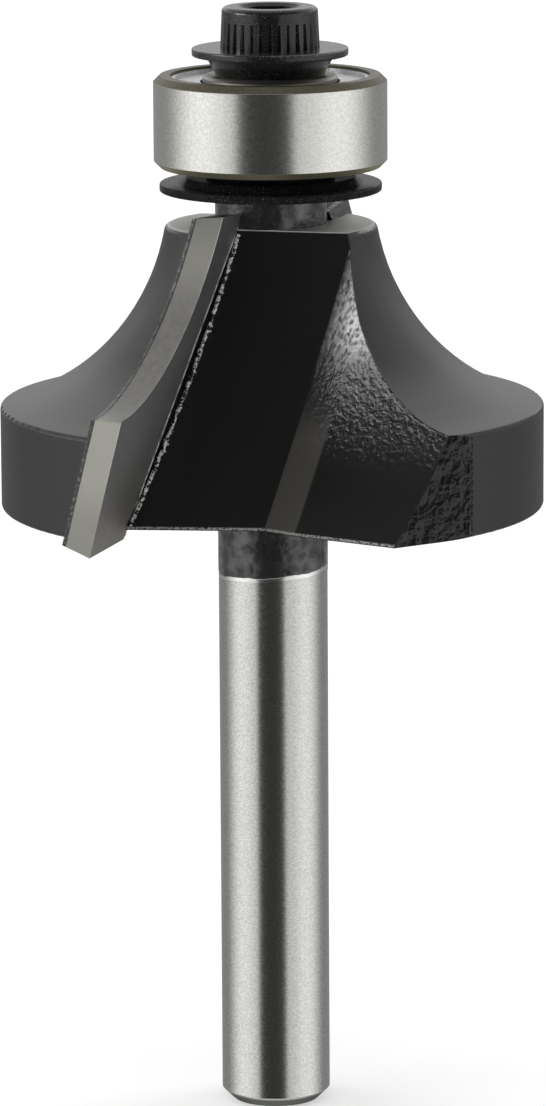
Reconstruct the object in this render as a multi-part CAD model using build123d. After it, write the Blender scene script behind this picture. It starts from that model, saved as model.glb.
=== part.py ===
"""Rounding-over router bit, standing on its shank: millimetres, +Z up, shank end at z = 0.

The shank, head, arbor and pilot journal are one turned piece. Two carbide plates are brazed into
pockets in its gullets. A shielded ball bearing sits on the journal between two washers, held by a
socket-head screw. The bit has two-fold symmetry about its axis, and its front is towards -Y.
"""
import os
from math import acos, asin, cos, degrees, radians, sin, tan

from build123d import *

# Cutting sizes
cutting_diameter = 31.75
round_over_radius = 9.525
flute_count = 2

# Shank and neck
shank_diameter = 6.0
shank_length = 30.0
shank_chamfer = 0.6
neck_length = 3.7
neck_coating = 0.02
neck_fillet = 0.5

# Turned head
head_diameter = 29.72
head_height = 15.5
cove_radius = 12.32
cove_waist_diameter = 11.22
cove_centre_height = 17.43
cove_turn = 61.9
cove_outer_radius = 8.8
head_top_fillet = 0.35
land_edge_fillet = 0.25

# Arbor and journal above the head
arbor_diameter = 6.1
arbor_height = 1.8
journal_end_gap = 0.12
slip_clearance = 0.01

# Rake face of a carbide plate: it looks along this azimuth and leans down from level
rake_azimuth = -17.8
rake_lean = -15.4
rake_offset = 0.93

# Carbide plate, with its reach from the bit's axis taken at the height of the head's top
tip_thickness = 1.93
tip_inner_reach = 2.7
tip_inner_slope = 21.4
tip_stand_up = 1.13
tip_stand_down = 0.56
tip_curve_rise = 1.02
tip_sweep_turn = 26.3
tip_sweep_drop = 5.0
tip_top_dish = 4.7
tip_top_relief = 5.8
tip_bottom_relief = 13.0
tip_seat_step = 0.08

# Gullet, milled by a wheel: its floor, then the strip, then the heel, away from the wall
wheel_azimuth = -8.87
wheel_lean = -15.52
wheel_radius = 32.29
wheel_rise = 2.4
web_half_thickness = 3.32
strip_start = 4.9
strip_width = 1.74
floor_taper = 5.67
strip_slope = 34.9
heel_slope = 28.9

# Flat milled on the land beside the heel
heel_flat_azimuth = -57.4
heel_flat_depth = 0.33

# Bearing
bearing_diameter = 12.70
bearing_bore = 4.7625
bearing_width = 4.978
outer_ring_corner = 0.35
inner_ring_corner = 0.15
inner_land_diameter = 7.35
outer_land_diameter = 9.53
ball_diameter = 1.588
ball_count = 7
raceway_ratio = 1.04
raceway_clearance = 0.02

# Shields and the wire rings that hold them
shield_seat_diameter = 10.86
shield_recess = 0.36
shield_thickness = 0.2
shield_inner_gap = 0.13
shield_outer_gap = 0.03
snap_wire_height = 0.22
snap_wire_width = 0.34
snap_groove_depth = 0.08
snap_groove_gap = 0.02
snap_opening = 24.0
snap_opening_azimuth = 110.0

# Snap-in cage
cage_width = 0.7
cage_bridge = 0.3
cage_skirt = 0.5
pocket_clearance = 0.04

# Lower washer
lower_washer_diameter = 12.1
lower_washer_rim = 0.45
lower_ring_diameter = 9.2
lower_ring_run = 0.4
lower_ring_height = 0.36
lower_hub_diameter = 7.0
lower_hub_height = 0.52

# Upper washer
upper_washer_diameter = 8.5
upper_washer_rim = 0.43
upper_boss_height = 1.04
upper_boss_diameter = 7.0
upper_boss_foot_diameter = 5.9
washer_hole_clearance = 0.1
washer_edge_fillet = 0.1

# Cap screw
screw_diameter = 3.0
screw_length = 8.0
screw_head_diameter = 5.4
screw_head_top_diameter = 5.2
screw_head_height = 2.24
screw_head_fillet = 0.3
screw_dish_diameter = 3.5
screw_dish_depth = 0.15
hex_across_flats = 2.5
hex_depth = 1.3
thread_clearance = 0.03
hole_bottom_gap = 0.4
knurl_count = 32
knurl_depth = 0.16
knurl_height = 1.45
knurl_half_angle = 45.0

# Heights along the stack
head_bottom = shank_length + neck_length
head_top = head_bottom + head_height
arbor_top = head_top + arbor_height
bearing_bottom = arbor_top + lower_washer_rim + lower_ring_height + lower_hub_height
bearing_top = bearing_bottom + bearing_width
bearing_middle = (bearing_bottom + bearing_top) / 2
journal_top = bearing_top - journal_end_gap
upper_rim_bottom = bearing_top + upper_boss_height
upper_washer_top = upper_rim_bottom + upper_washer_rim
screw_head_top = upper_washer_top + screw_head_height
screw_tip = upper_washer_top - screw_length
tip_top = head_top + tip_stand_up
tip_bottom = head_bottom - tip_stand_down

# Radii
shank_radius = shank_diameter / 2
neck_radius = shank_radius + neck_coating
head_radius = head_diameter / 2
arbor_radius = arbor_diameter / 2
cutting_radius = cutting_diameter / 2
pilot_radius = cutting_radius - round_over_radius
journal_radius = bearing_bore / 2 - slip_clearance
ball_radius = ball_diameter / 2
pitch_radius = (inner_land_diameter + outer_land_diameter) / 4
raceway_radius = ball_radius * raceway_ratio
seat_radius = shield_seat_diameter / 2

# Longer than the bit, for cuts that pass right through
beyond = 4 * cutting_diameter

UP = Vector(0, 0, 1)


def level(azimuth):
    """Unit vector that is level and points along an azimuth."""
    return Vector(cos(radians(azimuth)), sin(radians(azimuth)), 0)


def leaning(azimuth, lean):
    """Unit vector along an azimuth, raised from level by lean."""
    return level(azimuth) * cos(radians(lean)) + UP * sin(radians(lean))


def soften(face, corner, radius):
    """A flat outline with the corner nearest to a point rounded."""
    vertex = face.vertices().sort_by_distance(Vector(*corner, 0))[0]
    return fillet(vertex, radius)


def turned(face):
    """Solid turned about Z from a flat outline in (radius, height)."""
    return revolve(Plane.XZ * face, Axis.Z)


def outline(*points):
    """Flat outline of straight lines between (radius, height) points."""
    return make_face(Polyline(*points, close=True))


def side_of(point, normal):
    """Everything on the side of a plane that its normal points to."""
    block = Box(beyond, beyond, beyond, align=(Align.CENTER, Align.CENTER, Align.MIN))
    return Plane(origin=point, z_dir=normal) * block


def at_each_flute(solid):
    """A solid made for the front flute, turned to every flute."""
    return [solid.rotate(Axis.Z, n * 360 / flute_count) for n in range(flute_count)]


# The rake face's own directions: out from the axis, up its slope, and back into the plate
rake_normal = leaning(rake_azimuth, rake_lean)
rake_out = level(rake_azimuth - 90)
rake_up = rake_out.cross(rake_normal)
rake_back = level(rake_azimuth + 180)
rake_origin = UP * head_top - rake_normal * rake_offset


def rake_point(reach, height):
    """Point of the rake face at a reach from the axis and a height above the shank's end."""
    return rake_origin + rake_out * reach + rake_up * ((height - rake_origin.Z) / rake_up.Z)


def shank():
    """Plain shank with a chamfered end."""
    return turned(outline(
        (0, 0),
        (shank_radius - shank_chamfer, 0),
        (shank_radius, shank_chamfer),
        (shank_radius, shank_length),
        (0, shank_length),
    ))


def head_blank():
    """Neck and head before milling: a cylindrical land below a cove that rises to the flat top."""
    centre = Vector(cove_waist_diameter / 2 + cove_radius, head_bottom + cove_centre_height)
    rim_angle = degrees(asin((centre.Y - head_top) / cove_radius))
    inner = CenterArc(centre, cove_radius, 180 + rim_angle, cove_turn - rim_angle)
    turn = Vector(cos(radians(cove_turn)), sin(radians(cove_turn)))
    outer_centre = centre - turn * (cove_radius - cove_outer_radius)
    land_angle = degrees(acos((outer_centre.X - head_radius) / cove_outer_radius))
    outer = CenterArc(outer_centre, cove_outer_radius, 180 + cove_turn, land_angle - cove_turn)
    rim, land = inner @ 0, outer @ 1
    rest = Polyline(
        land,
        (head_radius, head_bottom),
        (neck_radius, head_bottom),
        (neck_radius, shank_length),
        (0, shank_length),
        (0, head_top),
        rim,
    )
    face = make_face(Curve() + [inner, outer, rest])
    face = soften(face, (rim.X, rim.Y), head_top_fillet)
    face = soften(face, (land.X, land.Y), land_edge_fillet)
    face = soften(face, (head_radius, head_bottom), land_edge_fillet)
    face = soften(face, (neck_radius, head_bottom), neck_fillet)
    return turned(face)


def gullet():
    """Space that the milling wheel clears in front of a plate, up to the plate's wall."""
    axis = leaning(wheel_azimuth, wheel_lean)
    out = level(wheel_azimuth - 90)
    centre = UP * head_top + out * (web_half_thickness + wheel_radius) + out.cross(axis) * wheel_rise
    strip_end = strip_start + strip_width
    strip_end_radius = wheel_radius - strip_width * tan(radians(strip_slope))
    wheel = turned(outline(
        (0, -head_radius),
        (wheel_radius + (strip_start + head_radius) * tan(radians(floor_taper)), -head_radius),
        (wheel_radius, strip_start),
        (strip_end_radius, strip_end),
        (strip_end_radius - head_radius * tan(radians(heel_slope)), strip_end + head_radius),
        (0, strip_end + head_radius),
    ))
    wall = rake_origin - rake_normal * tip_seat_step
    return Plane(origin=centre, x_dir=out, z_dir=axis) * wheel & side_of(wall, rake_normal)


def heel_flat():
    """Flat that relieves the land just behind the heel."""
    facing = level(heel_flat_azimuth)
    return side_of(facing * (head_radius - heel_flat_depth), facing)


def cutting_form():
    """Solid that the cutting edges sweep as the bit turns."""
    curve_height = head_top + tip_curve_rise
    curve = CenterArc((cutting_radius, curve_height), round_over_radius, 180, 90)
    rest = Polyline(
        (cutting_radius, curve_height - round_over_radius),
        (cutting_radius, head_bottom - round_over_radius),
        (0, head_bottom - round_over_radius),
        (0, curve_height + round_over_radius),
        (pilot_radius, curve_height + round_over_radius),
        (pilot_radius, curve_height),
    )
    return turned(make_face(Curve() + [curve, rest]))


def carbide_tip():
    """Front carbide plate: its rake face, swept back with clearance, then ground at both ends."""
    run = head_height + cutting_radius
    blank = outline(
        (tip_inner_reach - run * tan(radians(tip_inner_slope)), run),
        (tip_inner_reach + run * tan(radians(tip_inner_slope)), -run),
        (beyond, -run),
        (beyond, run),
    )
    face = Plane(origin=rake_origin, x_dir=rake_out, z_dir=-rake_normal) * blank & cutting_form()
    sweep = leaning(rake_azimuth + 180 - tip_sweep_turn, -tip_sweep_drop)
    plate = extrude(face, amount=tip_thickness / -sweep.dot(rake_normal), dir=sweep)
    top = UP - rake_out * tan(radians(tip_top_dish)) + rake_back * tan(radians(tip_top_relief))
    bottom = rake_back * tan(radians(tip_bottom_relief)) - UP
    plate -= side_of(rake_point(pilot_radius, tip_top), top)
    return plate - side_of(rake_point(cutting_radius, tip_bottom), bottom)


def journal():
    """Arbor that carries the lower washer, and the journal inside the bearing, tapped for the screw."""
    stem = turned(outline(
        (0, head_top),
        (arbor_radius, head_top),
        (arbor_radius, arbor_top),
        (journal_radius, arbor_top),
        (journal_radius, journal_top),
        (0, journal_top),
    ))
    hole_bottom = screw_tip - hole_bottom_gap
    hole = Cylinder(
        screw_diameter / 2 + thread_clearance,
        journal_top - hole_bottom,
        align=(Align.CENTER, Align.CENTER, Align.MIN),
    )
    return stem - Pos(0, 0, hole_bottom) * hole


def cutter_body(tips):
    """One-piece body, milled for both flutes and pocketed for the plates."""
    head = head_blank() - at_each_flute(gullet()) - at_each_flute(heel_flat())
    return shank() + head + journal() - tips


def raceway(centre_reach):
    """Ring-shaped space that the balls roll in."""
    return Pos(0, 0, bearing_middle) * Torus(centre_reach, raceway_radius)


def inner_ring():
    """Bearing ring on the journal."""
    bore, land, corner = bearing_bore / 2, inner_land_diameter / 2, inner_ring_corner
    ring = turned(outline(
        (bore, bearing_bottom + corner),
        (bore + corner, bearing_bottom),
        (land - corner, bearing_bottom),
        (land, bearing_bottom + corner),
        (land, bearing_top - corner),
        (land - corner, bearing_top),
        (bore + corner, bearing_top),
        (bore, bearing_top - corner),
    ))
    track_bottom = pitch_radius - ball_radius - raceway_clearance
    return ring - raceway(track_bottom + raceway_radius)


def outer_ring():
    """Bearing ring that rolls on the work, with a seat and a wire groove at each face."""
    rim, corner = bearing_diameter / 2, outer_ring_corner
    ring = turned(outline(
        (outer_land_diameter / 2, bearing_bottom),
        (rim - corner, bearing_bottom),
        (rim, bearing_bottom + corner),
        (rim, bearing_top - corner),
        (rim - corner, bearing_top),
        (outer_land_diameter / 2, bearing_top),
    ))
    seat_depth = shield_recess + shield_thickness
    groove_bottom = -shield_recess - snap_groove_gap
    groove_top = -shield_recess + snap_wire_height + snap_groove_gap
    cut = outline(
        (0, -seat_depth),
        (seat_radius, -seat_depth),
        (seat_radius, groove_bottom),
        (seat_radius + snap_groove_depth, groove_bottom),
        (seat_radius + snap_groove_depth, groove_top),
        (seat_radius, groove_top),
        (seat_radius, bearing_width),
        (0, bearing_width),
    )
    seat = Pos(0, 0, bearing_top) * turned(cut)
    track_bottom = pitch_radius + ball_radius + raceway_clearance
    return ring - seat - other_face(seat) - raceway(track_bottom - raceway_radius)


def other_face(piece):
    """A piece of the bearing's top face, turned over to its bottom face."""
    return piece.rotate(Axis((0, 0, bearing_middle), (1, 0, 0)), 180)


def ball(number):
    """One ball, in its place round the bearing."""
    place = level(number * 360 / ball_count) * pitch_radius + UP * bearing_middle
    return Location(place) * Sphere(ball_radius)


def cage():
    """Snap-in cage: a ring above the balls, with prongs that reach down between them."""
    inner, outer = pitch_radius - cage_width / 2, pitch_radius + cage_width / 2
    low = bearing_middle - cage_skirt
    high = bearing_middle + ball_radius + cage_bridge
    ring = turned(outline((inner, low), (outer, low), (outer, high), (inner, high)))
    pocket = Sphere(ball_radius + pocket_clearance)
    places = [level(n * 360 / ball_count) * pitch_radius + UP * bearing_middle for n in range(ball_count)]
    return ring - [Location(place) * pocket for place in places]


def shield():
    """Thin shield in the bearing's top face."""
    top = bearing_top - shield_recess
    inner = inner_land_diameter / 2 + shield_inner_gap
    outer = seat_radius - shield_outer_gap
    return turned(outline(
        (inner, top - shield_thickness),
        (outer, top - shield_thickness),
        (outer, top),
        (inner, top),
    ))


def snap_ring():
    """Open wire ring on top of the shield, sprung into the outer ring's groove."""
    bottom = bearing_top - shield_recess
    outer = seat_radius + snap_groove_depth - snap_groove_gap
    section = outline(
        (outer - snap_wire_width, bottom),
        (outer, bottom),
        (outer, bottom + snap_wire_height),
        (outer - snap_wire_width, bottom + snap_wire_height),
    )
    ring = revolve(Plane.XZ * section, Axis.Z, revolution_arc=360 - snap_opening)
    return ring.rotate(Axis.Z, snap_opening_azimuth + snap_opening / 2)


def lower_washer():
    """Thrust washer on the arbor's shoulder, stepped up to a hub that carries the inner ring."""
    bore = bearing_bore / 2
    rim = lower_washer_diameter / 2
    rim_top = arbor_top + lower_washer_rim
    ring_top = rim_top + lower_ring_height
    ring = lower_ring_diameter / 2
    hub = lower_hub_diameter / 2
    face = outline(
        (bore, arbor_top),
        (rim, arbor_top),
        (rim, rim_top),
        (ring + lower_ring_run, rim_top),
        (ring, ring_top),
        (hub, ring_top),
        (hub, bearing_bottom),
        (bore, bearing_bottom),
    )
    face = soften(face, (rim, arbor_top), washer_edge_fillet)
    face = soften(face, (rim, rim_top), washer_edge_fillet)
    return turned(face)


def upper_washer():
    """Washer above the bearing: a flat rim on a conical boss that bears on the inner ring."""
    bore = screw_diameter / 2 + washer_hole_clearance
    rim = upper_washer_diameter / 2
    face = outline(
        (bore, bearing_top),
        (upper_boss_foot_diameter / 2, bearing_top),
        (upper_boss_diameter / 2, upper_rim_bottom),
        (rim, upper_rim_bottom),
        (rim, upper_washer_top),
        (bore, upper_washer_top),
    )
    face = soften(face, (rim, upper_rim_bottom), washer_edge_fillet)
    face = soften(face, (rim, upper_washer_top), washer_edge_fillet)
    return turned(face)


def knurl_groove():
    """One upright V groove in the screw head's side."""
    foot = screw_head_diameter / 2 - knurl_depth
    run = 2 * knurl_depth
    half_width = run * tan(radians(knurl_half_angle))
    section = make_face(Polyline((foot, 0), (foot + run, -half_width), (foot + run, half_width), close=True))
    return Pos(0, 0, upper_washer_top) * extrude(section, amount=knurl_height)


def cap_screw():
    """Socket-head screw: knurled head with a dished top and a hexagon socket, and its threaded stem."""
    stem, foot, top = screw_diameter / 2, screw_head_diameter / 2, screw_head_top_diameter / 2
    dish = screw_dish_diameter / 2
    face = outline(
        (0, screw_tip),
        (stem, screw_tip),
        (stem, upper_washer_top),
        (foot, upper_washer_top),
        (top, screw_head_top),
        (dish, screw_head_top),
        (dish - screw_dish_depth, screw_head_top - screw_dish_depth),
        (0, screw_head_top - screw_dish_depth),
    )
    screw = turned(soften(face, (top, screw_head_top), screw_head_fillet))
    hexagon = RegularPolygon(hex_across_flats / 2, 6, major_radius=False)
    socket = extrude(hexagon, amount=screw_dish_depth + hex_depth)
    grooves = [knurl_groove().rotate(Axis.Z, n * 360 / knurl_count) for n in range(knurl_count)]
    return screw - Pos(0, 0, screw_head_top - screw_dish_depth - hex_depth) * socket - grooves


def save(solid, node):
    export_step(solid, f"parts/{node}.step")


os.makedirs("parts", exist_ok=True)
tips = at_each_flute(carbide_tip())
save(cutter_body(tips), "cutter_body")
for side, tip in zip(("front", "rear"), tips):
    save(tip, f"carbide_tip_{side}")
save(lower_washer(), "lower_washer")
save(inner_ring(), "bearing_inner_ring")
save(outer_ring(), "bearing_outer_ring")
save(cage(), "bearing_cage")
for number in range(ball_count):
    save(ball(number), f"bearing_ball_{number + 1}")
save(shield(), "shield_top")
save(other_face(shield()), "shield_bottom")
save(snap_ring(), "snap_ring_top")
save(other_face(snap_ring()), "snap_ring_bottom")
save(upper_washer(), "upper_washer")
save(cap_screw(), "cap_screw")
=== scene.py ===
"""Looks of the rounding-over router bit: its finishes, its braze beads and the studio round it.

Lengths in the finishes are millimetres in the bit's own frame; lengths in Blender are metres.
"""
import math
from types import SimpleNamespace

import bpy
from mathutils import Matrix, Vector


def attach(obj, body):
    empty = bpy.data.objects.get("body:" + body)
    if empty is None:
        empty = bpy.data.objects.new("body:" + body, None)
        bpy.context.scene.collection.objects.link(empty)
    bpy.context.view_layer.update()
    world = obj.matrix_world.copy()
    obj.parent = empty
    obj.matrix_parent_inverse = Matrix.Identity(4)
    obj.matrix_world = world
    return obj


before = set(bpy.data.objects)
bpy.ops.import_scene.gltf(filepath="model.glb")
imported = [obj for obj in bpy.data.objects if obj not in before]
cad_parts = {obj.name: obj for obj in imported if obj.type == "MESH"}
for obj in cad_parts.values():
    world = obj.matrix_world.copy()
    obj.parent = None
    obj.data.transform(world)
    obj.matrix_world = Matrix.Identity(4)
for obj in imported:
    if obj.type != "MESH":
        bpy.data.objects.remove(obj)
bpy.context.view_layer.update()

MM = 0.001


def extent(node):
    """How far a piece reaches from the axis, and the heights of its bottom and top."""
    points = [vertex.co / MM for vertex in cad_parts[node].data.vertices]
    heights = [point.z for point in points]
    return max(point.xy.length for point in points), min(heights), max(heights)


def leaning(azimuth, lean):
    """Unit vector along an azimuth, raised from level by lean, both in degrees."""
    a, e = math.radians(azimuth), math.radians(lean)
    return Vector((math.cos(a) * math.cos(e), math.sin(a) * math.cos(e), math.sin(e)))


# Sizes that the frame gives, in millimetres
RIM_RADIUS, _, _ = extent("cutter_body")
BEARING_RADIUS, BEARING_BOTTOM, BEARING_TOP = extent("bearing_outer_ring")
INNER_RING_RADIUS, _, _ = extent("bearing_inner_ring")

# Heights on the body, and its flank as two arcs: centre's radius, centre's height and radius
PAINT_EDGE = 30.12
HEAD_BOTTOM = 33.7
RIM_TOP = 39.34
HEEL_FLAT_TOP = 40.6
PLATE_CORNER = 40.6
FLANK_TOP = 49.0
HEAD_TOP = 49.2
COVE_INNER = (17.93, 51.13, 12.32)
COVE_OUTER = (16.27, 48.02, 8.8)
COVE_TURN_HEIGHT = 40.26
OUTER_RING_CORNER = 0.35

# Planes of the front flute, in millimetres and degrees
RAKE_AZIMUTH, RAKE_LEAN, RAKE_OFFSET = -17.8, -15.4, 0.93
WHEEL_AZIMUTH, WHEEL_LEAN = -8.87, -15.52
STRIP_START, STRIP_END = 4.9, 6.64
HEEL_FLAT_AZIMUTH, HEEL_FLAT_REACH = -57.4, 14.53
PLATE_INNER_REACH, PLATE_INNER_SLOPE = 2.7, 21.4
RAKE_NORMAL = leaning(RAKE_AZIMUTH, RAKE_LEAN)
RAKE_OUT = leaning(RAKE_AZIMUTH - 90, 0)
RAKE_UP = RAKE_OUT.cross(RAKE_NORMAL)
RAKE_ORIGIN = Vector((0, 0, HEAD_TOP)) - RAKE_NORMAL * RAKE_OFFSET
WHEEL_AXIS = leaning(WHEEL_AZIMUTH, WHEEL_LEAN)

# Where the finishes and the painted light change: heights, and how deep behind the rake face a plate's braze
# starts
# Top of the painted sheen that lightens the lower cove
PAINTED_SHEEN_TOP = 41.6
# Top of the painted reflection of the rake face on the heel's strip
RAKE_REFLECTION_TOP = 39.3
THICK_BOTTOM, THICK_TOP = 37.6, 47.8
RUNNY_BOTTOM = 43.0
PLATE_DARK_ABOVE = 45.5
PLATE_FACE_FOOT, PLATE_BACK_FOOT = 37.0, 36.0
BRAZED_DEPTH = 1.7

# The braze bead beside a plate, in millimetres
BEAD_TOP, BEAD_BOTTOM, BEAD_STEPS = 49.0, 33.95, 40
BEAD_OFFSET, BEAD_RADIUS, BEAD_UNEVENNESS, DROPLET_RADIUS = 0.16, 0.11, 0.12, 0.08
BEAD_RINGS, BEAD_SIDES, DROPLETS = 170, 10, 120
BEAD_LUMPS_PER_METRE = 2600.0
BEAD_SEED = 7
RAY_START = 3.0

# The studio's directions, as shares of a unit vector and as degrees of turn from the front
GAP_LEFT, GAP_RIGHT = -0.545, 0.375
BOX_START, BOX_END = 62.0, 93.0
BOX_BOTTOM, BOX_TOP = 0.14, 0.425
BOX_STRENGTH = 7.0
CEILING, GROUND = 0.93, -0.8

# The floor, lights and camera, in metres and degrees
FLOOR, FLOOR_HALF = -0.00002, 1.2
LIGHT_REACH = 0.6
FOCAL_PIXELS, IMAGE_HEIGHT = 5968.0, 1106.0
CAMERA_DOWN, CAMERA_ROLL = 11.23, -0.346
CAMERA_PLACE = (0.0, -0.3219, 0.0948)

UP = Vector((0, 0, 1))


class Value:
    """A number that varies over a surface. The usual operators on it add Math nodes."""

    def __init__(self, finish, socket):
        self.finish = finish
        self.socket = socket

    def math(self, operation, *numbers):
        return self.finish.node("ShaderNodeMath", {"operation": operation}, dict(enumerate(numbers)))

    def __add__(self, other):
        return self.math("ADD", self, other)

    def __radd__(self, other):
        return self.math("ADD", other, self)

    def __sub__(self, other):
        return self.math("SUBTRACT", self, other)

    def __rsub__(self, other):
        return self.math("SUBTRACT", other, self)

    def __mul__(self, other):
        return self.math("MULTIPLY", self, other)

    def __rmul__(self, other):
        return self.math("MULTIPLY", other, self)

    def __neg__(self):
        return self.math("MULTIPLY", self, -1.0)

    def __abs__(self):
        return self.math("ABSOLUTE", self)

    def fraction(self):
        return self.math("FRACT", self)

    def root(self):
        return self.math("SQRT", self.at_least(0.0))

    def at_least(self, low):
        return self.math("MAXIMUM", self, low)

    def above(self, edge, soft):
        """1 where this is above an edge, 0 below it, with a soft step between."""
        return self.spread(edge - soft, edge + soft)

    def below(self, edge, soft):
        return 1.0 - self.above(edge, soft)

    def spread(self, low, high, start=0.0, end=1.0):
        """This value's range from low to high, drawn out to start and end by a smooth step."""
        sockets = {"Value": self, "From Min": low, "From Max": high, "To Min": start, "To Max": end}
        return self.finish.node("ShaderNodeMapRange", {"interpolation_type": "SMOOTHSTEP"}, sockets)


class Finish:
    """A surface finish, made of nodes round one shader."""

    def __init__(self, name, tree=None):
        if tree is None:
            self.material = bpy.data.materials.new(name)
            self.material.use_nodes = True
            tree = self.material.node_tree
            self.shader = tree.nodes["Principled BSDF"]
        self.tree = tree

    def node(self, kind, settings=None, sockets=None, output=0):
        """Adds a node: its settings first, then its sockets' values or links. Gives one output."""
        made = self.tree.nodes.new(kind)
        for name, value in (settings or {}).items():
            setattr(made, name, value)
        for name, value in (sockets or {}).items():
            self.feed(made.inputs[name], value)
        return Value(self, made.outputs[output])

    def feed(self, socket, value):
        if isinstance(value, Value):
            self.tree.links.new(value.socket, socket)
        else:
            socket.default_value = value

    def set(self, **sockets):
        """Feeds the shader's sockets, whose names have underscores for spaces here."""
        for name, value in sockets.items():
            self.feed(self.shader.inputs[name.replace("_", " ")], value)

    def split(self, vector):
        """The x, y and z of a vector."""
        split = self.node("ShaderNodeSeparateXYZ", sockets={0: vector}).socket.node
        return [Value(self, output) for output in split.outputs]

    def place(self):
        """The point on the surface, in millimetres."""
        point = self.node("ShaderNodeTexCoord", output="Object")
        return self.node("ShaderNodeVectorMath", {"operation": "SCALE"}, {0: point, "Scale": 1 / MM})

    def along(self, vector, direction):
        """How far a point lies along a direction."""
        sockets = {0: vector, 1: tuple(direction)}
        return self.node("ShaderNodeVectorMath", {"operation": "DOT_PRODUCT"}, sockets, "Value")

    def stretched(self, vector, direction, factor):
        """A point whose distance along a direction is multiplied, so that a pattern runs that way."""
        shift = {0: tuple(direction), "Scale": self.along(vector, direction) * (factor - 1)}
        shift = self.node("ShaderNodeVectorMath", {"operation": "SCALE"}, shift)
        return self.node("ShaderNodeVectorMath", {"operation": "ADD"}, {0: vector, 1: shift})

    def noise(self, vector, per_mm, detail=2.0, roughness=0.5):
        sockets = {"Vector": vector, "Scale": per_mm, "Detail": detail, "Roughness": roughness}
        return self.node("ShaderNodeTexNoise", {}, sockets)

    def cells(self, vector, per_mm):
        """Soft round cells, as in paint that has crinkled while it dried."""
        sockets = {"Vector": vector, "Scale": per_mm}
        return self.node("ShaderNodeTexVoronoi", {"feature": "SMOOTH_F1"}, sockets)

    def mix(self, factor, low, high):
        """A colour between two colours."""
        sockets = {0: factor, 6: rgba(low), 7: rgba(high)}
        return self.node("ShaderNodeMix", {"data_type": "RGBA"}, sockets, 2)

    def mottled(self, pattern, low, high):
        """A colour between two, spread over the middle of a noise, where most of its values lie."""
        return self.mix(pattern.spread(0.3, 0.7), low, high)

    def bump(self, height, depth_mm, normal=None):
        """The surface's normal over a height of 0 to 1 that is so many millimetres deep."""
        sockets = {"Height": height, "Distance": depth_mm * MM}
        if normal:
            sockets["Normal"] = normal
        return self.node("ShaderNodeBump", {}, sockets)


def rgba(colour):
    return colour if isinstance(colour, Value) else (*colour, 1.0)


def from_axis(x, y):
    return (x * x + y * y).root()


def flute(finish, vector):
    """A point turned into the front flute: points behind the axis are turned by half a turn."""
    x, y, z = finish.split(vector)
    side = finish.along(vector, RAKE_OUT).above(0.0, 0.001) * 2.0 - 1.0
    return finish.node("ShaderNodeCombineXYZ", sockets={"X": x * side, "Y": y * side, "Z": z})


def cove_radius(z):
    """The turned head's radius at a height, above its rim: two arcs in line."""
    def arc(centre_r, centre_z, radius):
        up = z - centre_z
        return centre_r - (radius * radius - up * up).root()
    upper = z.above(COVE_TURN_HEIGHT, 0.01)
    return upper * arc(*COVE_INNER) + (1.0 - upper) * arc(*COVE_OUTER)


def body_zones(f, p, x, z, r, across, heel):
    """Where each surface of the body is: 1 on it and 0 elsewhere."""
    wave = f.noise(f.stretched(p, UP, 0.0), 0.45, 3.0) - 0.5
    above_edge = z - (x * 0.06 + wave * 0.5 + PAINT_EDGE)
    paint = above_edge.above(0.0, 0.03)
    cove = (r - cove_radius(z)).above(-0.06, 0.02) * z.below(FLANK_TOP, 0.05) * z.above(RIM_TOP - 0.04, 0.03)
    rim = (r - RIM_RADIUS).above(-0.06, 0.02) * z.below(RIM_TOP + 0.02, 0.03) * z.above(HEAD_BOTTOM, 0.03)
    flat = heel.above(HEEL_FLAT_REACH - 0.05, 0.02)
    flat = flat * z.above(HEAD_BOTTOM, 0.03) * z.below(HEEL_FLAT_TOP, 0.3)
    milled = (1.0 - cove.at_least(rim).at_least(flat)) * z.above(HEAD_BOTTOM + 0.04, 0.02)
    milled = milled * z.below(HEAD_TOP - 0.05, 0.02)
    return SimpleNamespace(
        paint=paint,
        bare=1.0 - paint,
        brighter_band=above_edge.above(-0.22, 0.04) * (1.0 - paint),
        oxide=z.below(0.5, 0.12),
        cove=cove,
        flat=flat,
        milled=milled,
        heel=milled * across.above(STRIP_START, 0.05),
        top_face=z.above(HEAD_TOP - 0.06, 0.02) * z.below(HEAD_TOP + 0.03, 0.01),
        neck=z.below(HEAD_BOTTOM, 0.05) * paint,
        arbor=z.above(HEAD_TOP + 0.03, 0.01),
    )


def shank_steel(f, p, grinding, zone):
    """Bare shank: ground round, with pores, an oxidised end and a brighter band of steel just below the
    paint.
    """
    pores = f.noise(p, 11.0, 3.0, 0.7).above(0.66, 0.05)
    steel = f.mottled(grinding, (0.47, 0.47, 0.45), (0.63, 0.63, 0.605))
    steel = f.mix(pores * 0.5, steel, (0.25, 0.25, 0.24))
    steel = f.mix(zone.oxide, steel, (0.10, 0.10, 0.09))
    # A brighter band of steel just below the paint's edge
    return f.mix(zone.brighter_band, steel, (0.75, 0.75, 0.73))


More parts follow.
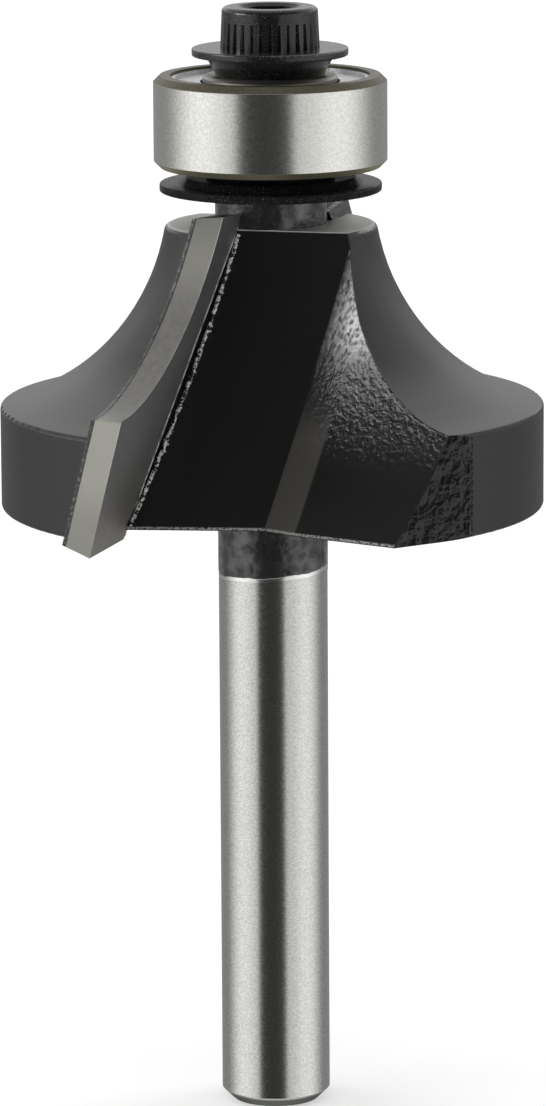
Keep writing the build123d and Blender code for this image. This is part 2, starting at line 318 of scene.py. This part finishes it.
def black_paint(f, p, z, zone, painted_rake_reflection):
    """Matte outside, lighter where it faces up as a painted reflection of the bright studio, deep black in
    the gullet and worn at its foot.
    """
    grain = f.noise(p, 9.0, 4.0, 0.65)
    worn = zone.milled * z.below(HEAD_BOTTOM + 0.16, 0.03) * grain.above(0.47, 0.05)
    black = f.mottled(grain, (0.013, 0.013, 0.013), (0.022, 0.022, 0.0215))
    # Painted reflection: the head's top face is light grey, standing in for the bright studio mirrored at a
    # grazing angle
    black = f.mix(zone.top_face, black, (0.40, 0.40, 0.385))
    # Painted sheen: the lower cove, where it faces up, is lighter, standing in for the top light it reflects
    black = f.mix(zone.cove * z.below(PAINTED_SHEEN_TOP, 1.3) * 0.7, black, (0.070, 0.070, 0.069))
    black = f.mix(zone.milled, black, (0.0105, 0.0108, 0.0112))
    # Painted reflection: warm dark grey on the heel's strip, standing in for the carbide rake face mirrored
    # in it
    black = f.mix(painted_rake_reflection, black, (0.050, 0.046, 0.040))
    black = f.mix(worn, black, (0.30, 0.30, 0.29))
    return f.mix(zone.flat, black, (0.006, 0.006, 0.007))


def painted_body():
    """Black paint over the head, crinkled where it lies thick, and the bare ground shank."""
    f = Finish("black_paint_and_bare_shank")
    p = f.place()
    x, y, z = f.split(p)
    r = from_axis(x, y)
    q = flute(f, p)
    across = f.along(q, WHEEL_AXIS) - HEAD_TOP * WHEEL_AXIS.z
    zone = body_zones(f, p, x, z, r, across, f.along(q, leaning(HEEL_FLAT_AZIMUTH, 0)))
    # Painted reflection: the lower strip of the heel beside the plate, where the carbide rake face is
    # mirrored
    painted_rake_reflection = zone.heel * across.below(STRIP_END, 0.12) * z.below(RAKE_REFLECTION_TOP, 1.2)

    # Crinkled paint, thickest high on the heel and along its outer edge
    thick = z.above(THICK_BOTTOM, 1.2) * z.below(THICK_TOP, 0.8)
    edge = zone.heel * (r - cove_radius(z)).above(-0.5, 0.2)
    crinkle = (zone.heel * (thick * 0.80 + 0.20)).at_least(edge * 1.3)
    crinkle = crinkle.at_least(zone.neck * 1.6).at_least(zone.arbor * 1.3).at_least(zone.flat * 0.5)
    pebbles = f.cells(p, 2.9) * 0.6 + f.noise(p, 5.5, 3.0) * 0.7
    mill_marks = (z * 2.4 + f.noise(p, 1.3, 3.0) * 1.6).fraction()
    grinding = f.noise(f.stretched(p, UP, 1.6), 7.0, 3.0, 0.6)
    turned = zone.neck.at_least(zone.arbor)

    lumps = f.bump(pebbles * crinkle, 0.032)
    lumps = f.bump(mill_marks * zone.flat, -0.17, lumps)
    lumps = f.bump(f.noise(p, 1.3, 2.0) * turned, 0.16, lumps)
    lumps = f.bump(grinding * zone.bare, 0.0008, lumps)
    gloss = zone.milled * 0.25 + zone.neck * 0.24 + zone.arbor * 0.22 + zone.flat * 0.22 - painted_rake_reflection * 0.2
    rough = zone.paint * (0.42 - gloss) + zone.bare * (grinding * 0.10 + zone.oxide * 0.2 + 0.17)
    colour = f.mix(zone.paint, shank_steel(f, p, grinding, zone), black_paint(f, p, z, zone, painted_rake_reflection))
    f.set(Base_Color=colour, Roughness=rough, Metallic=zone.bare, Normal=lumps)

    # A clear glossy skin where the paint ran thick
    runny = zone.heel * z.above(RUNNY_BOTTOM, 1.4) * pebbles.spread(0.40, 0.75)
    glints = turned * f.noise(p, 1.5, 2.0).above(0.5, 0.25)
    f.set(Specular_IOR_Level=0.32, Coat_Weight=runny.at_least(glints), Coat_Roughness=0.2, Coat_IOR=1.7)
    return f.material


def ground_carbide():
    """Sintered carbide: a mottled ground back, and a darker rake face with streaks along its edge."""
    f = Finish("ground_carbide")
    p = f.place()
    z = f.split(p)[2]
    q = flute(f, p)
    depth = f.along(q, RAKE_NORMAL) - RAKE_ORIGIN.dot(RAKE_NORMAL)
    rake = depth.above(-0.02, 0.01)
    brazed = depth.below(-BRAZED_DEPTH, 0.05)
    slope = math.radians(PLATE_INNER_SLOPE)
    edge = RAKE_UP * math.cos(slope) - RAKE_OUT * math.sin(slope)
    inward = RAKE_OUT * math.cos(slope) + RAKE_UP * math.sin(slope)
    reach = f.along(q, inward) - (RAKE_ORIGIN + RAKE_OUT * PLATE_INNER_REACH).dot(inward)
    streaks = f.noise(f.stretched(q, edge, 0.12), 3.6, 4.0, 0.6)
    fine = f.noise(q, 14.0, 2.0)
    chipped = reach.below(0.2, 0.04) * f.noise(q, 2.4, 3.0).above(0.44, 0.06) * rake

    back = f.mottled(f.noise(q, 2.2, 5.0, 0.65), (0.135, 0.132, 0.122), (0.170, 0.166, 0.155))
    back = f.mix(z.above(PLATE_DARK_ABOVE, 2.5), back, (0.100, 0.098, 0.090))
    back = f.mix(z.below(PLATE_CORNER, 0.15), back, (0.25, 0.246, 0.222))
    back = f.mix(z.below(PLATE_BACK_FOOT, 1.5), back, (0.20, 0.197, 0.180))
    back = f.mix(brazed, back, (0.012, 0.012, 0.013))
    face = f.mix(z.below(PLATE_DARK_ABOVE, 2.5), (0.29, 0.305, 0.315), (0.42, 0.43, 0.43))
    face = f.mix(z.below(PLATE_FACE_FOOT, 2.5), face, (0.26, 0.25, 0.235))
    face = f.mix(streaks.spread(0.3, 0.7) * 0.5, face, (0.36, 0.35, 0.33))
    face = f.mix(chipped, face, (0.8, 0.8, 0.78))

    lumps = f.bump(fine, 0.002)
    lumps = f.bump(streaks * rake, 0.004, lumps)
    lumps = f.bump(f.noise(p, 4.0, 2.0) * brazed, 0.12, lumps)
    rough = 0.40 + fine * 0.12 - rake * 0.06 - brazed * 0.25
    f.set(Base_Color=f.mix(rake, back, face), Roughness=rough, Normal=lumps)
    f.set(Metallic=(1.0 - brazed) * (1.0 - chipped) * 0.85)
    return f.material


def black_oxide(name, shine):
    """Blackened steel, a little rough, with small bright specks."""
    f = Finish(name)
    p = f.place()
    grain = f.noise(p, 7.0, 4.0, 0.65)
    specks = f.noise(p, 16.0, 2.0).above(0.68, 0.03)
    colour = f.mottled(grain, (0.006, 0.006, 0.006), (0.015, 0.015, 0.015))
    colour = f.mix(specks * 0.6, colour, (0.22, 0.22, 0.21))
    f.set(Base_Color=colour, Roughness=0.09 + grain * 0.15, Normal=f.bump(grain, 0.009))
    f.set(Specular_IOR_Level=shine)
    return f.material


def bearing_steel():
    """The bearing's rings: a ground and polished side, and softer grey ends and corners, the bottom corner
    lightened as painted light.
    """
    f = Finish("bearing_steel")
    p = f.place()
    x, y, z = f.split(p)
    r = from_axis(x, y)
    side = r.above(BEARING_RADIUS - 0.06, 0.01)
    side = side * z.above(BEARING_BOTTOM + OUTER_RING_CORNER, 0.03)
    side = side * z.below(BEARING_TOP - OUTER_RING_CORNER, 0.03)
    grinding = f.noise(f.stretched(p, UP, 1.3), 6.0, 3.0, 0.6)
    pores = f.noise(p, 9.0, 3.0, 0.7).above(0.66, 0.05)
    polished = f.mix(grinding.spread(0.35, 0.65), (0.58, 0.58, 0.545), (0.68, 0.68, 0.645))
    polished = f.mix(pores * 0.35, polished, (0.3, 0.3, 0.28))
    end = f.mottled(grinding, (0.085, 0.077, 0.052), (0.125, 0.115, 0.082))
    end = f.mix(r.below(INNER_RING_RADIUS + 0.05, 0.02), end, (0.30, 0.29, 0.26))
    # Painted light: the end is lighter near its bottom corner, standing in for light that falls on it there
    end = f.mix(z.below(BEARING_BOTTOM + 1.0, 0.5), end, (0.45, 0.42, 0.29))
    rough = side * 0.2 + (1.0 - side) * 0.38 + grinding * 0.08
    f.set(Base_Color=f.mix(side, end, polished), Roughness=rough, Metallic=1.0)
    f.set(Normal=f.bump(grinding, 0.0006))
    return f.material


def plain_steel(name, low, high, rough):
    """Steel that only varies a little between two tones."""
    f = Finish(name)
    grain = f.noise(f.place(), 6.0, 4.0, 0.6)
    f.set(Base_Color=f.mottled(grain, low, high), Roughness=rough + grain * 0.12, Metallic=1.0)
    f.set(Normal=f.bump(grain, 0.003))
    return f.material


def cage_plastic():
    """The moulded cage between the balls."""
    f = Finish("cage_plastic")
    grain = f.noise(f.place(), 5.0, 3.0)
    f.set(Base_Color=f.mix(grain, (0.42, 0.33, 0.19), (0.55, 0.45, 0.28)), Roughness=0.45 + grain * 0.1)
    return f.material


def painted_braze():
    """Braze that squeezed out along a plate, black, with near-white spots painted on as highlights."""
    f = Finish("painted_braze")
    p = f.place()
    grain = f.noise(p, 6.0, 3.0)
    # Painted highlights: the near-white spots stand in for glints of light on the bead
    bare = f.noise(p, 4.2, 3.0, 0.65).above(0.50, 0.03)
    colour = f.mix(bare, (0.012, 0.012, 0.012), (0.62, 0.62, 0.60))
    f.set(Base_Color=colour, Roughness=0.18 + grain * 0.12, Normal=f.bump(grain, 0.02))
    return f.material


def added(name, points, edges, faces):
    """A new object in the scene, made from points."""
    mesh = bpy.data.meshes.new(name)
    mesh.from_pydata(points, edges, faces)
    made = bpy.data.objects.new(name, mesh)
    bpy.context.scene.collection.objects.link(made)
    return made


def bead_paths():
    """Lines on the gullet floors, just beside each plate's inner edge, from the top to the foot."""
    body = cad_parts["cutter_body"]
    slope = math.tan(math.radians(PLATE_INNER_SLOPE))
    points, edges = [], []
    for turn in (0, 180):
        about = Matrix.Rotation(math.radians(turn), 3, "Z")
        for n in range(BEAD_STEPS):
            height = BEAD_TOP + (BEAD_BOTTOM - BEAD_TOP) * n / (BEAD_STEPS - 1)
            fall = (HEAD_TOP - height) / RAKE_UP.z
            edge = RAKE_ORIGIN + RAKE_OUT * (PLATE_INNER_REACH + fall * slope)
            edge += RAKE_UP * ((height - RAKE_ORIGIN.z) / RAKE_UP.z)
            start = about @ ((edge + RAKE_NORMAL * BEAD_OFFSET + RAKE_OUT * RAY_START) * MM)
            hit, place, _, _ = body.ray_cast(start, about @ -RAKE_OUT)
            if hit:
                if n and points:
                    edges.append((len(points) - 1, len(points)))
                points.append(place)
    return added("bead_paths", points, edges, [])


def bead_tree():
    """Geometry nodes that run a lumpy bead along a line, with droplets scattered over it."""
    tree = bpy.data.node_groups.new("braze_bead", "GeometryNodeTree")
    kinds = {"Path": "Geometry", "Width": "Float", "Unevenness": "Float", "Droplet": "Float", "Seed": "Int",
             "Finish": "Material"}
    for name, kind in kinds.items():
        tree.interface.new_socket(name, in_out="INPUT", socket_type="NodeSocket" + kind)
    tree.interface.new_socket("Bead", in_out="OUTPUT", socket_type="NodeSocketGeometry")
    f = Finish("braze_bead", tree)
    given = f.node("NodeGroupInput").socket.node
    path, width, unevenness, droplet, seed, finish = (Value(f, given.outputs[name]) for name in kinds)

    # The bead itself: a round tube, pushed in and out
    curve = f.node("GeometryNodeMeshToCurve", {}, {"Mesh": path})
    curve = f.node("GeometryNodeResampleCurve", {}, {"Curve": curve, "Count": BEAD_RINGS})
    ring = f.node("GeometryNodeCurvePrimitiveCircle", {}, {"Resolution": BEAD_SIDES, "Radius": width})
    tube = f.node("GeometryNodeCurveToMesh", {}, {"Curve": curve, "Profile Curve": ring, "Fill Caps": True})
    noise = f.node("ShaderNodeTexNoise", {"noise_dimensions": "4D"},
                   {"W": seed, "Scale": BEAD_LUMPS_PER_METRE, "Detail": 2.0})
    normal = f.node("GeometryNodeInputNormal")
    push = f.node("ShaderNodeVectorMath", {"operation": "SCALE"},
                  {0: normal, "Scale": (noise - 0.5) * unevenness})
    tube = f.node("GeometryNodeSetPosition", {}, {"Geometry": tube, "Offset": push})

    # Droplets beside it, drifted a little out of line
    spots = f.node("GeometryNodeCurveToPoints", {"mode": "COUNT"}, {"Curve": curve, "Count": DROPLETS})
    drift = f.node("FunctionNodeRandomValue", {"data_type": "FLOAT_VECTOR"},
                   {0: (-0.00012, -0.00012, -0.00006), 1: (0.00016, 0.00012, 0.00006), "Seed": seed})
    spots = f.node("GeometryNodeSetPosition", {}, {"Geometry": spots, "Offset": drift})
    size = f.node("FunctionNodeRandomValue", {"data_type": "FLOAT"}, {2: 0.35, 3: 1.0, "Seed": seed}, 1)
    drop = f.node("GeometryNodeMeshIcoSphere", {}, {"Radius": droplet, "Subdivisions": 2})
    drops = f.node("GeometryNodeInstanceOnPoints", {}, {"Points": spots, "Instance": drop, "Scale": size})
    drops = f.node("GeometryNodeRealizeInstances", {}, {"Geometry": drops})

    joined = f.node("GeometryNodeJoinGeometry", {}, {"Geometry": tube})
    f.feed(joined.socket.node.inputs["Geometry"], drops)
    smooth = f.node("GeometryNodeSetShadeSmooth", {}, {"Geometry": joined})
    made = f.node("GeometryNodeSetMaterial", {}, {"Geometry": smooth, "Material": finish})
    f.feed(tree.nodes.new("NodeGroupOutput").inputs["Bead"], made)
    return tree


def braze_bead():
    """The beads beside both plates, as one mesh."""
    line = bead_paths()
    tree = bead_tree()
    modifier = line.modifiers.new("bead", "NODES")
    modifier.node_group = tree
    wanted = {"Width": BEAD_RADIUS * MM, "Unevenness": BEAD_UNEVENNESS * MM, "Droplet": DROPLET_RADIUS * MM,
              "Seed": BEAD_SEED, "Finish": painted_braze()}
    for item in tree.interface.items_tree:
        if item.in_out == "INPUT" and item.name in wanted:
            modifier[item.identifier] = wanted[item.name]
    shaped = line.evaluated_get(bpy.context.evaluated_depsgraph_get())
    mesh = bpy.data.meshes.new_from_object(shaped)
    bpy.data.objects.remove(line)
    made = bpy.data.objects.new("braze_bead", mesh)
    bpy.context.scene.collection.objects.link(made)
    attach(made, "cutter")


def studio():
    """White for the camera. All else sees two bright side panels with a dark gap before the bit."""
    world = bpy.data.worlds.new("studio")
    world.use_nodes = True
    bpy.context.scene.world = world
    tree = world.node_tree
    f = Finish("studio", tree)
    plain = tree.nodes["Background"]
    x, y, z = f.split(f.node("ShaderNodeTexCoord"))
    turn = abs(x.math("ARCTAN2", x, -y)) * math.degrees(1)
    before = y.below(-0.03, 0.08)

    # Level with the bit: two panels that fade towards the back, and the gap between them
    gap = x.above(GAP_LEFT, 0.05) * x.below(GAP_RIGHT, 0.05) * before
    panels = turn.spread(35.0, 66.0, 0.9, 1.25) - turn.spread(76.0, 124.0, 0.0, 0.93)
    low = panels * (1.0 - gap) + gap * 0.05
    raised = z.above(0.13, 0.05) * (1.0 - before)
    tone = low * (1.0 - raised) + raised * 1.05

    # A strong box at the left, and the ceiling and floor above and below
    box = turn.above(BOX_START, 3.0) * turn.below(BOX_END, 3.0)
    box = box * x.below(0.0, 0.1) * z.above(BOX_BOTTOM, 0.03)
    tone = tone + box * BOX_STRENGTH
    above_box = z.above(BOX_TOP, 0.02)
    tone = tone * (1.0 - above_box) + above_box * ((1.0 - before) * 0.95 + before * 0.06)
    ends = z.above(CEILING, 0.04).at_least(z.below(GROUND, 0.06))
    tone = tone * (1.0 - ends) + ends * 0.95

    f.feed(plain.inputs["Color"], f.node("ShaderNodeCombineColor", {}, {0: tone, 1: tone, 2: tone}))
    white = f.node("ShaderNodeBackground", {}, {"Color": rgba((1.0, 1.0, 1.0)), "Strength": 1.0})
    seen = f.node("ShaderNodeLightPath", output="Is Camera Ray")
    shade = f.node("ShaderNodeMixShader", {}, {0: seen, 1: Value(f, plain.outputs[0]), 2: white})
    f.feed(tree.nodes["World Output"].inputs["Surface"], shade)


def floor():
    """A pale floor that keeps the bit's shadow. Polished metal looks through it to the studio."""
    f = Finish("pale_floor")
    f.set(Base_Color=rgba((0.86, 0.86, 0.86)), Roughness=1.0, Specular_IOR_Level=0.0)
    pale = Value(f, f.shader.outputs[0])
    glow = f.node("ShaderNodeEmission", {}, {"Color": rgba((1.0, 1.0, 1.0)), "Strength": 1.0})
    seen = f.node("ShaderNodeLightPath", output="Is Camera Ray")
    mirrored = f.node("ShaderNodeLightPath", output="Is Glossy Ray")
    clear = f.node("ShaderNodeBsdfTransparent")
    lit = f.node("ShaderNodeMixShader", {}, {0: seen * 0.5, 1: pale, 2: glow})
    shade = f.node("ShaderNodeMixShader", {}, {0: mirrored, 1: lit, 2: clear})
    f.feed(f.tree.nodes["Material Output"].inputs["Surface"], shade)
    corners = [(x * FLOOR_HALF, y * FLOOR_HALF, FLOOR) for x, y in ((-1, -1), (1, -1), (1, 1), (-1, 1))]
    made = added("floor", corners, [], [(0, 1, 2, 3)])
    made.data.materials.append(f.material)


def sun(name, strength, azimuth, height, spread):
    """Light from a direction, as wide as a soft box of so many degrees. Polished metal doesn't show it."""
    lamp = bpy.data.lights.new(name, "SUN")
    lamp.energy = strength
    lamp.angle = math.radians(spread)
    made = bpy.data.objects.new(name, lamp)
    toward = leaning(azimuth, height)
    made.location = toward * LIGHT_REACH
    made.visible_glossy = False
    made.rotation_mode = "QUATERNION"
    made.rotation_quaternion = toward.to_track_quat("Z", "Y")
    bpy.context.scene.collection.objects.link(made)


def camera():
    lens = bpy.data.cameras.new("camera")
    lens.sensor_width = 36.0
    lens.lens = lens.sensor_width * FOCAL_PIXELS / IMAGE_HEIGHT
    lens.clip_start = 0.01
    made = bpy.data.objects.new("camera", lens)
    pitch = Matrix.Rotation(math.radians(90 - CAMERA_DOWN), 4, "X")
    roll = Matrix.Rotation(math.radians(CAMERA_ROLL), 4, "Z")
    made.matrix_world = Matrix.Translation(CAMERA_PLACE) @ pitch @ roll
    bpy.context.scene.collection.objects.link(made)
    bpy.context.scene.camera = made


def dress(node, material):
    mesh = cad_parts[node].data
    mesh.materials.clear()
    mesh.materials.append(material)


carbide = ground_carbide()
oxide = black_oxide("black_oxide", 0.42)
rings = bearing_steel()
bright = plain_steel("shield_steel", (0.46, 0.46, 0.47), (0.60, 0.60, 0.61), 0.24)
balls = plain_steel("ball_steel", (0.66, 0.66, 0.67), (0.74, 0.74, 0.75), 0.08)
finishes = {
    "cutter_body": painted_body(),
    "carbide_tip_front": carbide,
    "carbide_tip_rear": carbide,
    "lower_washer": black_oxide("worn_black_oxide", 0.02),
    "upper_washer": oxide,
    "cap_screw": oxide,
    "bearing_inner_ring": rings,
    "bearing_outer_ring": rings,
    "bearing_cage": cage_plastic(),
    "shield_top": bright,
    "shield_bottom": bright,
    "snap_ring_top": bright,
    "snap_ring_bottom": bright,
}
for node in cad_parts:
    dress(node, finishes.get(node, balls))
braze_bead()

bpy.context.scene.view_settings.view_transform = "Standard"
studio()
floor()
sun("left_rim", 1.1, 150, 32, 35)
sun("right_rim", 1.1, 30, 32, 35)
sun("top", 1.0, -100, 78, 40)
camera()
